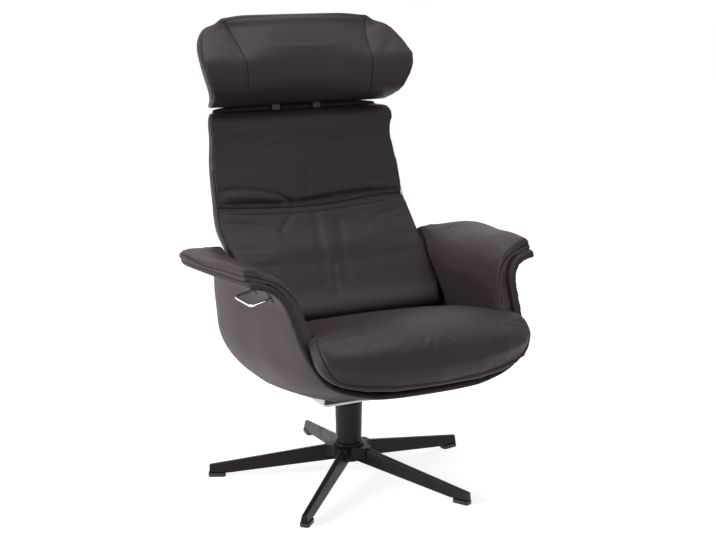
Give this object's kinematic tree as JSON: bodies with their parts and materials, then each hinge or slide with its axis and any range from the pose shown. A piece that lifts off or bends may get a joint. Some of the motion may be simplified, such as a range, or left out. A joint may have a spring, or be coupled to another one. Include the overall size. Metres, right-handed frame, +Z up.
{
  "type": "swivel recliner armchair",
  "caption": "Swivel recliner: five-arm star base, leather-covered bucket shell with flared arms, padded seat, reclining back, sliding winged headrest.",
  "frame": {"origin": "on the floor, under the middle of the whole chair's bounding box", "axes": "+Z up, the sitter faces -Y, the sitter's left is +X; the swivel axis stands at y = +0.055 m"},
  "size_m": [0.7916, 0.8015, 1.0906],
  "materials": {
    "base_paint": "satin black powder coat",
    "zinc_plate": "zinc-plated pressed steel",
    "steel_turned": "turned, lightly oiled",
    "chassis_paint": "black e-coat",
    "glide_plastic": "moulded",
    "bearing_plastic": "moulded nylon",
    "fastener_zinc": "bright zinc",
    "buffer_rubber": "moulded",
    "shell_leather": "smooth semi-matte on moulded plywood",
    "pad_leather": "smooth semi-matte, padded",
    "seat_leather": "smooth semi-matte, padded",
    "plywood": "raw plywood",
    "strut_black": "gloss black",
    "chrome": "polished",
    "spring_steel": "drawn wire",
    "cable_sheath": "extruded"
  },
  "bodies": {
    "base": {"star_base": "base_paint", "glides": "glide_plastic", "glide_screws": "fastener_zinc", "column_tube": "base_paint", "upper_bush": "bearing_plastic", "lower_bush": "bearing_plastic"},
    "swivel": {"swivel_spindle": "steel_turned", "thrust_washer": "bearing_plastic", "retaining_clip": "spring_steel", "mechanism_housing": "zinc_plate", "tilt_axle": "steel_turned", "tilt_buffers": "buffer_rubber"},
    "seat": {"outer_shell": "shell_leather", "left_arm_pad": "pad_leather", "right_arm_pad": "pad_leather", "seat_chassis": "chassis_paint", "axle_bushes": "bearing_plastic", "chassis_bolts": "fastener_zinc", "chassis_nuts": "fastener_zinc", "seat_board": "plywood", "board_screws": "fastener_zinc", "seat_cushion": "seat_leather", "strut_cylinder": "strut_black", "strut_pin": "steel_turned", "recline_pins": "steel_turned", "lever_bracket": "glide_plastic", "lever_spring": "spring_steel", "release_cable": "cable_sheath"},
    "back": {"back_uprights": "chassis_paint", "back_crossbar": "steel_turned", "guide_plate": "chassis_paint", "headrest_guides": "glide_plastic", "recline_bushes": "bearing_plastic", "back_cushion": "seat_leather", "back_cover": "shell_leather"},
    "strut_piston": {"strut_rod": "steel_turned"},
    "headrest_carrier": {"headrest_rails": "steel_turned", "rail_bridge": "steel_turned", "headrest_pin": "steel_turned"},
    "headrest": {"headrest_core": "plywood", "headrest_cushion": "seat_leather", "headrest_cover": "pad_leather"},
    "lever": {"release_lever": "chrome"}
  },
  "joints": [
    {"name": "swivel", "type": "hinge", "parent": "base", "child": "swivel", "pos_m": [0, 0.055, 0.19], "axis": [0, 0, 1], "continuous": true},
    {"name": "back_recline", "type": "hinge", "parent": "seat", "child": "back", "pos_m": [0, 0.115, 0.36], "axis": [-1, 0, 0], "range_deg": [0, 15]},
    {"name": "seat_tilt", "type": "hinge", "parent": "swivel", "child": "seat", "pos_m": [0, 0.015, 0.262], "axis": [-1, 0, 0], "range_deg": [0, 10]},
    {"name": "strut_stroke", "type": "slide", "parent": "seat", "child": "strut_piston", "axis": [0, -1, 0], "range_m": [0, 0.0202]},
    {"name": "headrest_height", "type": "slide", "parent": "back", "child": "headrest_carrier", "axis": [0, 0.1392, 0.9903], "range_m": [0, 0.07]},
    {"name": "headrest_angle", "type": "hinge", "parent": "headrest_carrier", "child": "headrest", "pos_m": [0, 0.345, 0.89], "axis": [1, 0, 0], "range_deg": [0, 20]},
    {"name": "release_lever", "type": "hinge", "parent": "seat", "child": "lever", "pos_m": [-0.268, -0.1185, 0.528], "axis": [0, 1, 0], "range_deg": [0, 15], "stiffness_Nm_per_rad": 0.4, "springref_deg": -9.74}
  ],
  "couplings": [
    {"joint": "seat_tilt", "follows": "back_recline", "ratio": 0.66667},
    {"joint": "strut_stroke", "follows": "back_recline", "m_per_rad": 0.076}
  ]
}
